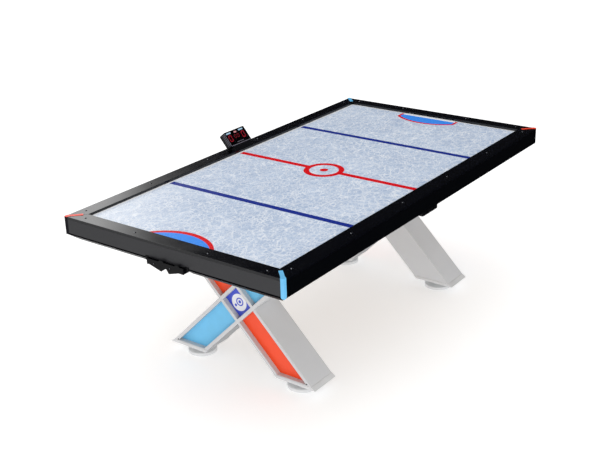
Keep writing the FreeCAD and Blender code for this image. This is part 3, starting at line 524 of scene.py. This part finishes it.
CHARCOAL = laminate("charcoal_laminate", END_APRON, 0.42, 0.45, (1, 0.2, 1), APRON_SHADE_LINE)
# painted shade: the darker copy of the aprons' laminate, for the long sides
SHADED_BLACK_LAMINATE = laminate("shaded_black_laminate", SHADED_LONG_APRON, 0.38, 0.25, (0.2, 1, 1))
RAIL_BLACK = laminate("rail_black_laminate", srgb(4, 5, 10), 0.16, 0.5, (0.2, 1, 1))
MOULDING = laminate("black_moulding", srgb(4, 4, 6), 0.5, 0.1)
BOARD = raw_board("fibreboard")
ICE = ice_print("ice_print")
BLUE_TRIM = plastic("blue_trim", srgb(102, 186, 234), 0.35)
ORANGE_TRIMS = {
    "home_score": plastic("orange_trim_home", TRIM_ORANGE, 0.35, foot=TRIM_FOOT, foot_shade=END_APRON),
    # the away trim's foot takes the long aprons' painted shade
    "away_front": plastic("orange_trim_away", TRIM_ORANGE, 0.35, foot=TRIM_FOOT, foot_shade=SHADED_LONG_APRON),
}
STEEL = metal("bright_steel", srgb(132, 134, 140), 0.34)
DARK_STEEL = metal("dark_steel", srgb(40, 40, 44), 0.4)
BLACK_PLASTIC = plastic("black_plastic", srgb(14, 14, 18), 0.42, specular=0.2)
GLOSS_BLACK = plastic("gloss_black", srgb(7, 7, 10), 0.25, 300.0, 0.00002, 0.15)
LENS = smoked_lens("smoked_lens")
DISPLAY = plastic("display_board", srgb(12, 10, 12), 0.6)
MOTOR_CAN = metal("motor_can", srgb(150, 152, 156), 0.35)
LEG_PAINT = painted_board("leg_paint", srgb(207, 208, 210))
BLUE_PANEL = plastic("blue_panel", srgb(112, 196, 240), 0.38, 500.0, 0.00004)
ORANGE_PANEL = plastic("orange_panel", srgb(255, 74, 24), 0.38, 500.0, 0.00004)
BADGE_BLUE = plastic("badge_blue", srgb(62, 82, 206), 0.35, 500.0, 0.00004)
BADGE_WHITE = plastic("badge_white", srgb(238, 240, 246), 0.35, 500.0, 0.00004)
PLATE_STEEL = metal("plate_steel", srgb(44, 44, 48), 0.5)
CAP_PALE = plastic("cap_pale", srgb(214, 215, 216), 0.45)
FOOT_PALE = plastic("foot_pale", srgb(232, 233, 234), 0.4)
LED_RED = glow("led_red", srgb(190, 12, 42), 0.32)
LED_DIM = glow("led_dim", srgb(150, 20, 40), 0.25)
# painted glow: the blue name bars are prints on the lens, made to give off a faint light
GLOWING_BAR_BLUE = glow("bar_blue_painted_glow", srgb(168, 204, 228), 0.12)
EMBLEM_PINK = plastic("emblem_pink", srgb(204, 138, 142), 0.4)
GREY_MARK = plastic("grey_mark", srgb(112, 108, 120), 0.4)


# ---------------------------------------------------------------- plain finishes


# Nodes that get one plain finish: the width their edges are rounded to, material, slot and body.
PLAIN_FINISHES = {
    "playfield": (0.0003, ICE, "ice_laminate", TABLE),
    "floor_panel": (0.0006, BOARD, "raw_board", TABLE),
    "goal_box_home": (0.0006, BLACK_PLASTIC, "black_plastic", TABLE),
    "goal_box_away": (0.0006, BLACK_PLASTIC, "black_plastic", TABLE),
    "goal_sensors": (0.0006, BLACK_PLASTIC, "black_plastic", TABLE),
    "puck_return_home": (0.0008, GLOSS_BLACK, "black_plastic", TABLE),
    "puck_return_away": (0.0008, GLOSS_BLACK, "black_plastic", TABLE),
    "blower_housing": (0.0006, BLACK_PLASTIC, "black_plastic", TABLE),
    "blower_motor": (0.0005, MOTOR_CAN, "motor_can", TABLE),
    "blower_impeller": (0.0004, BLACK_PLASTIC, "impeller_plastic", "impeller"),
    "inlet_grille": (0.0005, BLACK_PLASTIC, "black_plastic", TABLE),
    "power_box": (0.0008, BLACK_PLASTIC, "black_plastic", TABLE),
    "power_switch": (0.0004, GLOSS_BLACK, "black_plastic", "switch_rocker"),
    "power_socket": (0.0004, BLACK_PLASTIC, "black_plastic", TABLE),
    "leg_plates": (0.0006, PLATE_STEEL, "plate_steel", TABLE),
    "scoreboard_display": (0.0002, DISPLAY, "display_board", TABLE),
    "scoreboard_lens": (0.0003, LENS, "smoked_lens", TABLE),
    "button_reset": (0.0005, GREY_MARK, "black_plastic", "reset_button"),
    "button_start": (0.0005, GREY_MARK, "black_plastic", "start_button"),
    "badge_plate_home": (0.0003, BADGE_BLUE, "badge_blue", TABLE),
    "badge_plate_away": (0.0003, BADGE_BLUE, "badge_blue", TABLE),
    "inserts_blue": (0.0003, BLUE_PANEL, "blue_insert", TABLE),
    "inserts_orange": (0.0003, ORANGE_PANEL, "orange_insert", TABLE),
}


def dress_plain_nodes():
    for node, (edge, material, slot, body) in PLAIN_FINISHES.items():
        finish_node(node, edge, material, body)


# ---------------------------------------------------------------- cabinet


RAIL_EDGE = 0.0012
APRON_EDGE = 0.0008
BEVEL_EDGE = 0.0010
TRIM_EDGE = 0.0004


def dress_cabinet():
    for side in SIDES:
        # the long sides get the darker laminate: painted shade
        apron = CHARCOAL if side in ENDS else SHADED_BLACK_LAMINATE
        finish_node(f"rail_{side}", RAIL_EDGE, RAIL_BLACK)
        finish_node(f"apron_{side}", APRON_EDGE, apron)
        finish_node(f"bevel_{side}", BEVEL_EDGE, MOULDING)
        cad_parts[f"stringer_{side}"].data.materials[0] = BOARD
    for corner in CORNERS:
        orange = corner in ORANGE_TRIMS
        finish_node(f"corner_trim_{corner}", TRIM_EDGE, ORANGE_TRIMS[corner] if orange else BLUE_TRIM)


# Screws that stand upright: the way their heads point, head radius and height, and shank radius.
UPRIGHT_SCREWS = {
    "rail_bolts": (Z, 0.0055, 0.0020, 0.0025),
    "blower_screws": (-Z, 0.0040, 0.0022, 0.0020),
    "leg_bolts": (-Z, 0.0065, 0.0050, 0.0040),
}
# Head radius, head height and shank radius of the screws that point out of the ends.
RETURN_SCREW = (0.0040, 0.0022, 0.0020)
RIVET = (0.0036, 0.0024, 0.0015)
RIVET_LENGTH = 0.0025
# Each rivet's distance to the left of the middle, seen from outside its end, and its height.
RIVET_SPOTS = ((0.0617, 0.7251), (-0.0272, 0.7253))
SCREW_STEPS = 24


def screw_into(bm, centre, axis, head_radius, head_height, shank_radius, shank_length):
    """A domed screw: centre is under its head, axis points out of the head, with a socket in the dome."""
    socket = head_radius * 0.45
    floor = head_height * 0.35
    dome = [(head_radius * math.cos(t), head_height * math.sin(t)) for t in (0.0, 0.35, 0.7, 1.0)]
    shank = [(0.0, -shank_length), (shank_radius * 0.7, -shank_length),
             (shank_radius, -shank_length + 0.001), (shank_radius, 0.0)]
    well = [(socket, head_height * 0.93), (socket * 0.96, floor), (0.0, floor * 0.8)]
    lathe_into(bm, [*shank, *dome, *well], centre, axis, SCREW_STEPS)


def dress_screws():
    """Screws and bolts with sockets in their heads, where the CAD's plain ones stand."""
    for node, (axis, head_radius, head_height, shank_radius) in UPRIGHT_SCREWS.items():
        bm = bmesh.new()
        for low, high in islands(node):
            middle = (low + high) / 2
            length = (high.z - low.z) - head_height
            under = high.z - head_height if axis.z > 0 else low.z + head_height
            spot = Vector((middle.x, middle.y, under))
            screw_into(bm, spot, axis, head_radius, head_height, shank_radius, length)
        add_piece(f"{node}_finish", bm, STEEL, replaces=(node,))
    bm = bmesh.new()
    head_height = RETURN_SCREW[1]
    for low, high in islands("return_screws"):
        middle = (low + high) / 2
        out = 1 if middle.x > 0 else -1
        under = (high.x if out > 0 else low.x) - out * head_height
        length = (high.x - low.x) - head_height
        screw_into(bm, Vector((under, middle.y, middle.z)), X * out, *RETURN_SCREW, length)
    add_piece("return_screws_finish", bm, DARK_STEEL, replaces=("return_screws",))


def add_rivets():
    """Bright rivets on the faces of the puck returns."""
    rivets = bmesh.new()
    faces = {-1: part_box("puck_return_home")[0].x, 1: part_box("puck_return_away")[1].x}
    for end, face in faces.items():
        for across, height in RIVET_SPOTS:
            screw_into(rivets, Vector((face, -end * across, height)), X * end, *RIVET, RIVET_LENGTH)
    add_piece("return_rivets", rivets, STEEL)


# ---------------------------------------------------------------- scoreboard


# The bars of a zero: each one's place in half widths and half heights, and whether it lies level.
ZERO_BARS = (
    (0, 1, True), (0, -1, True),
    (-1, 0.5, False), (1, 0.5, False), (-1, -0.5, False), (1, -0.5, False),
)
DIGIT_SLANT = 0.08
BAR_FILL = 0.94
DIGIT_DEPTH = 0.0005
# Rows of digits on the display: places across, height up, and a digit's width, height and bar thickness.
SCORES = ((-0.0500, 0.0520), 0.0020, 0.0200, 0.0330, 0.0050)
CLOCK = ((-0.0110, 0.0130), 0.0050, 0.0110, 0.0190, 0.0035)
COLON = ((0.0010, 0.0000), (0.0010, 0.0100))
COLON_RADIUS = 0.0014
# Printed marks on the lens: width, height, corner radius and centre.
NAME_BARS = ((0.036, 0.0080, 0.0036, (-0.0500, 0.0310)), (0.036, 0.0080, 0.0036, (0.0480, 0.0310)))
EMBLEM = ((0.0210, 0.0100, 0.0048, (0.0015, 0.0275)),)
MARK = ((0.056, 0.0026, 0.001, (0.0040, -0.0280)),)
PRINT_GAP = 0.0001
PRINT_DEPTH = 0.0004
HOUSING_EDGE = 0.0012
STAND_EDGE = 0.0015
# The scoreboard's face looks across the table and a little up.
FACE_TOWARDS = Vector((0, -1, 0.5))


def segment_outline(centre, length, thickness, level):
    """A pointed bar of a seven-segment digit."""
    half, side = length / 2, thickness / 2
    bar = [(-half, 0), (-half + side, side), (half - side, side),
           (half, 0), (half - side, -side), (-half + side, -side)]
    if not level:
        bar = [(-v, u) for u, v in bar]
    return [(centre[0] + u + DIGIT_SLANT * (centre[1] + v), centre[1] + v) for u, v in bar]


def zeros_into(bm, place, row):
    """A row of zeros."""
    columns, up, width, height, thickness = row
    for across in columns:
        for step_x, step_y, level in ZERO_BARS:
            centre = (step_x * width / 2, step_y * height / 2)
            length = (width if level else height / 2) * BAR_FILL
            outline = segment_outline(centre, length, thickness, level)
            prism_into(bm, [(u + across, v + up) for u, v in outline], place, DIGIT_DEPTH)


def print_marks(name, marks, place, material):
    """Thin rounded plates on the lens."""
    bm = bmesh.new()
    for mark in marks:
        prism_into(bm, rounded_rectangle(*mark), place, PRINT_DEPTH)
    add_piece(name, bm, material)


def dress_scoreboard():
    finish_node("scoreboard_housing", HOUSING_EDGE, BLACK_PLASTIC, segments=3)
    finish_node("scoreboard_stand", STAND_EDGE, BLACK_PLASTIC, segments=3)
    board = face_place("scoreboard_display", FACE_TOWARDS)
    lit = bmesh.new()
    zeros_into(lit, board, SCORES)
    add_piece("scoreboard_digits", lit, LED_RED)
    dim = bmesh.new()
    zeros_into(dim, board, CLOCK)
    for spot in COLON:
        prism_into(dim, circle_outline(COLON_RADIUS, spot, 16), board, DIGIT_DEPTH)
    add_piece("scoreboard_clock", dim, LED_DIM)
    front = face_place("scoreboard_lens", FACE_TOWARDS)
    lens_top = lifted(front, PRINT_GAP)
    # the name bars carry a painted glow
    print_marks("scoreboard_bars", NAME_BARS, lens_top, GLOWING_BAR_BLUE)
    print_marks("scoreboard_emblem", EMBLEM, lens_top, EMBLEM_PINK)
    print_marks("scoreboard_mark", MARK, lens_top, GREY_MARK)
    dress_scoreboard_edges(front)


# The scoreboard's mouth: half its height, and the lips round it.
MOUTH = 0.0369
LIP_WIDTH = 0.0034
LIP_ROUND = 0.0012
LIP_LIFT = 0.0006
LIP_DEPTH = 0.0005
# The seams on the housing's end: how far behind the face, and how wide.
SEAMS = ((0.0060, 0.0026), (0.0150, 0.0018))
SEAM_ROUND = 0.0008
SEAM_DEPTH = 0.0004


def dress_scoreboard_edges(front):
    """Grey lips round the mouth's low and home edges, and two seams along the home end."""
    low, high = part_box("scoreboard_housing")
    half = (high.x - low.x) / 2
    lips = bmesh.new()
    bottom = rounded_rectangle(2 * half - 0.012, LIP_WIDTH, LIP_ROUND, (0, -MOUTH - 0.0022))
    side = rounded_rectangle(LIP_WIDTH, 2 * MOUTH, LIP_ROUND, (-half + 0.0026, 0))
    for outline in (bottom, side):
        prism_into(lips, outline, lifted(front, LIP_LIFT), LIP_DEPTH)
    add_piece("scoreboard_lips", lips, GREY_MARK)
    seams = bmesh.new()
    turn = front.to_3x3()
    end_face = Matrix((turn @ -Z, turn @ Y, -X)).transposed().to_4x4()
    end_face.translation = front @ Vector((-half, 0, 0))
    for depth, width in SEAMS:
        outline = rounded_rectangle(width, 2 * MOUTH - 0.006, SEAM_ROUND, (depth, 0))
        prism_into(seams, outline, end_face, SEAM_DEPTH)
    add_piece("scoreboard_seams", seams, GREY_MARK)


# ---------------------------------------------------------------- legs


BEAMS = ("long_beam", "lower_arm", "upper_arm")
BEAM_EDGE = 0.0010
CAP_EDGE = 0.0015
# The badge: a raised disc, and on it a ring, a dot inside the ring and a dot beside it.
BADGE_DISC = 0.043
BADGE_CENTRE = (-0.003, -0.005)
DISC_DEPTH = 0.0006
MARK_DEPTH = 0.0004
RING_SIZES = (0.021, 0.015)
RING_CENTRE = (0.004, 0.004)
BADGE_DOTS = ((0.008, RING_CENTRE), (0.007, (-0.020, -0.018)))
# The small screws in the legs' outer faces: how far out along the table, across it and up they are.
LEG_FACE = 0.7175
FOOT_SCREW_Y = 0.3876
FOOT_SCREW_Z = 0.0727
FOOT_SCREW_RADIUS = 0.0035
FOOT_SCREW_DEPTH = 0.0006


def ring_into(bm, radii, centre, place, depth):
    """A raised flat ring, in sectors."""
    outer, inner = (circle_outline(radius, centre) for radius in radii)
    count = len(outer)
    for i in range(count):
        j = (i + 1) % count
        prism_into(bm, [outer[i], outer[j], inner[j], inner[i]], place, depth)


def dress_badge(end, place):
    """The disc and the marks on a badge plate."""
    white = bmesh.new()
    prism_into(white, circle_outline(BADGE_DISC, BADGE_CENTRE, 72), place, DISC_DEPTH)
    add_piece(f"badge_disc_{end}", white, BADGE_WHITE)
    raised = place @ Matrix.Translation((*BADGE_CENTRE, DISC_DEPTH))
    marks = bmesh.new()
    ring_into(marks, RING_SIZES, RING_CENTRE, raised, MARK_DEPTH)
    for radius, centre in BADGE_DOTS:
        prism_into(marks, circle_outline(radius, centre), raised, MARK_DEPTH)
    add_piece(f"badge_emblem_{end}", marks, BADGE_BLUE)


def dress_legs():
    for end in ENDS:
        for beam in BEAMS:
            finish_node(f"leg_{end}_{beam}", BEAM_EDGE, LEG_PAINT)
        out = -1 if end == "home" else 1
        place = face_place(f"badge_plate_{end}", X * out)
        dress_badge(end, place)
        screws = bmesh.new()
        for side in (-1, 1):
            spot = Matrix.Translation((out * LEG_FACE, side * FOOT_SCREW_Y, FOOT_SCREW_Z))
            outline = circle_outline(FOOT_SCREW_RADIUS, steps=24)
            prism_into(screws, outline, spot @ place.to_3x3().to_4x4(), FOOT_SCREW_DEPTH)
        add_piece(f"foot_screws_{end}", screws, DARK_STEEL)
    finish_node("foot_caps", CAP_EDGE, CAP_PALE, segments=3)


# The levelling foot's profile: its rim as distances in from its edge and heights, its hub as radii and
# heights, then the neck under the cap and the stem up inside it.
FOOT_RIM = ((0.003, 0.0), (0.001, 0.0008), (0.0, 0.003), (0.0, 0.0145), (0.0008, 0.0165),
            (0.003, 0.0182), (0.008, 0.0190))
FOOT_HUB = ((0.026, 0.0205), (0.0205, 0.0225), (0.0165, 0.0270))
FOOT_NECK = 0.016
FOOT_STEM = 0.006
CAP_GAP = 0.0003
FOOT_STEPS = 96


def dress_feet():
    """Turned levelling feet, in place of the CAD's coarser ones."""
    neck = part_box("foot_caps")[0].z - CAP_GAP
    for corner in CORNERS:
        node = f"levelling_foot_{corner}"
        low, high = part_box(node)
        centre = Vector(((low.x + high.x) / 2, (low.y + high.y) / 2, 0))
        radius = (high.x - low.x) / 2
        rim = [(radius - inset, height) for inset, height in FOOT_RIM]
        stem = [(FOOT_NECK, neck), (FOOT_STEM, neck), (FOOT_STEM, high.z), (0.0, high.z)]
        bm = bmesh.new()
        lathe_into(bm, [(0.0, 0.0), *rim, *FOOT_HUB, *stem], centre, Z, FOOT_STEPS)
        add_piece(f"{node}_finish", bm, FOOT_PALE, f"foot_{corner}", (node,))


# ---------------------------------------------------------------- stage


FLOOR_HALF = 30.0
FLOOR_GLOW = 0.30


def add_floor():
    bm = bmesh.new()
    bmesh.ops.create_grid(bm, x_segments=1, y_segments=1, size=FLOOR_HALF)
    mesh = bpy.data.meshes.new("floor")
    bm.to_mesh(mesh)
    bm.free()
    g = Graph("floor_paint")
    tone = g.noise(0.7, 3.0)
    shade = g.mix(tone, srgb(250, 250, 250), srgb(254, 254, 254))
    paint = g.finish(Base_Color=shade, Roughness=0.9, Specular_IOR_Level=0.0,
                     Emission_Color=shade, Emission_Strength=FLOOR_GLOW)
    mesh.materials.append(paint)
    floor = bpy.data.objects.new("floor", mesh)
    bpy.context.scene.collection.objects.link(floor)
    floor.visible_glossy = False


def add_light(name, position, target, size, power):
    """A rectangular lamp that neither the camera nor glossy surfaces see."""
    data = bpy.data.lights.new(name, "AREA")
    data.shape = "RECTANGLE"
    data.size, data.size_y = size
    data.energy = power
    light = bpy.data.objects.new(name, data)
    light.location = position
    light.rotation_euler = (Vector(target) - Vector(position)).to_track_quat("-Z", "Y").to_euler()
    light.visible_camera = False
    light.visible_glossy = False
    bpy.context.scene.collection.objects.link(light)


# What gloss sees, from the dark side to the bright one: place on the ramp, grey level and blue level.
GLOSS_STOPS = (
    (0.28, 0.006, 0.007), (0.36, 0.012, 0.014), (0.40, 0.12, 0.12), (0.43, 0.72, 0.72),
    (0.45, 1.0, 1.0), (0.56, 1.0, 1.0), (0.74, 0.31, 0.31),
)
GLOSS_LEVEL = 2.35
MATT_LEVEL = 0.89
BRIGHT_FROM = math.radians(110)


def add_world():
    """A white room for matt surfaces and the eye; gloss sees it bright on one side, dark on the other."""
    world = bpy.data.worlds.new("studio")
    bpy.context.scene.world = world
    world.cycles.sampling_method = "NONE"
    world.use_nodes = True
    tree = world.node_tree
    tree.nodes.clear()
    new = tree.nodes.new
    link = tree.links.new
    place = new("ShaderNodeTexCoord")
    side = new("ShaderNodeVectorMath")
    side.operation = "DOT_PRODUCT"
    side.inputs[1].default_value = (math.cos(BRIGHT_FROM), math.sin(BRIGHT_FROM), 0)
    link(place.outputs["Generated"], side.inputs[0])
    ramp = new("ShaderNodeValToRGB")
    stops = ramp.color_ramp.elements
    for index, (position, level, blue_level) in enumerate(GLOSS_STOPS):
        stop = stops[index] if index < len(stops) else stops.new(position)
        stop.position = position
        stop.color = (level, level, blue_level, 1)
    link(side.outputs["Value"], ramp.inputs["Fac"])
    gloss = new("ShaderNodeBackground")
    gloss.inputs["Strength"].default_value = GLOSS_LEVEL
    link(ramp.outputs["Color"], gloss.inputs["Color"])
    matt = new("ShaderNodeBackground")
    matt.inputs["Color"].default_value = (1, 1, 1, 1)
    matt.inputs["Strength"].default_value = MATT_LEVEL
    backdrop = new("ShaderNodeBackground")
    backdrop.inputs["Color"].default_value = (1, 1, 1, 1)
    path = new("ShaderNodeLightPath")
    by_gloss = new("ShaderNodeMixShader")
    link(path.outputs["Is Glossy Ray"], by_gloss.inputs["Fac"])
    link(matt.outputs[0], by_gloss.inputs[1])
    link(gloss.outputs[0], by_gloss.inputs[2])
    by_eye = new("ShaderNodeMixShader")
    link(path.outputs["Is Camera Ray"], by_eye.inputs["Fac"])
    link(by_gloss.outputs[0], by_eye.inputs[1])
    link(backdrop.outputs[0], by_eye.inputs[2])
    out = new("ShaderNodeOutputWorld")
    link(by_eye.outputs[0], out.inputs["Surface"])


def add_lights():
    add_light("overhead", (-0.6, 0.8, 4.2), (0, 0, 0.8), (5.0, 4.0), 25.0)
    add_light("home_front", (-3.4, -4.4, 1.1), (-0.5, 0, 0.3), (3.2, 1.8), 45.0)


# The camera stands off the table's near corner, higher than a standing player's eyes: metres and radians.
EYE = Vector((-3.94260, -2.78441, 2.49400))
YAW, PITCH, ROLL = 0.641093, -0.388775, -0.029706
LENS_MM = 61.886
SENSOR_MM = 36.0
CLIP_END = 100.0


def add_camera():
    forward = Vector((math.cos(PITCH) * math.cos(YAW), math.cos(PITCH) * math.sin(YAW), math.sin(PITCH)))
    right = Vector((math.sin(YAW), -math.cos(YAW), 0))
    up = right.cross(forward)
    tilted_right = math.cos(ROLL) * right + math.sin(ROLL) * up
    tilted_up = -math.sin(ROLL) * right + math.cos(ROLL) * up
    data = bpy.data.cameras.new("camera")
    data.lens = LENS_MM
    data.sensor_width = SENSOR_MM
    data.clip_end = CLIP_END
    camera = bpy.data.objects.new("camera", data)
    place = Matrix((tilted_right, tilted_up, -forward)).transposed().to_4x4()
    place.translation = EYE
    camera.matrix_world = place
    bpy.context.scene.collection.objects.link(camera)
    bpy.context.scene.camera = camera


add_camera()
dress_plain_nodes()
dress_cabinet()
dress_screws()
add_rivets()
dress_scoreboard()
dress_legs()
dress_feet()
add_floor()
add_world()
add_lights()
bpy.context.scene.view_settings.view_transform = "Standard"
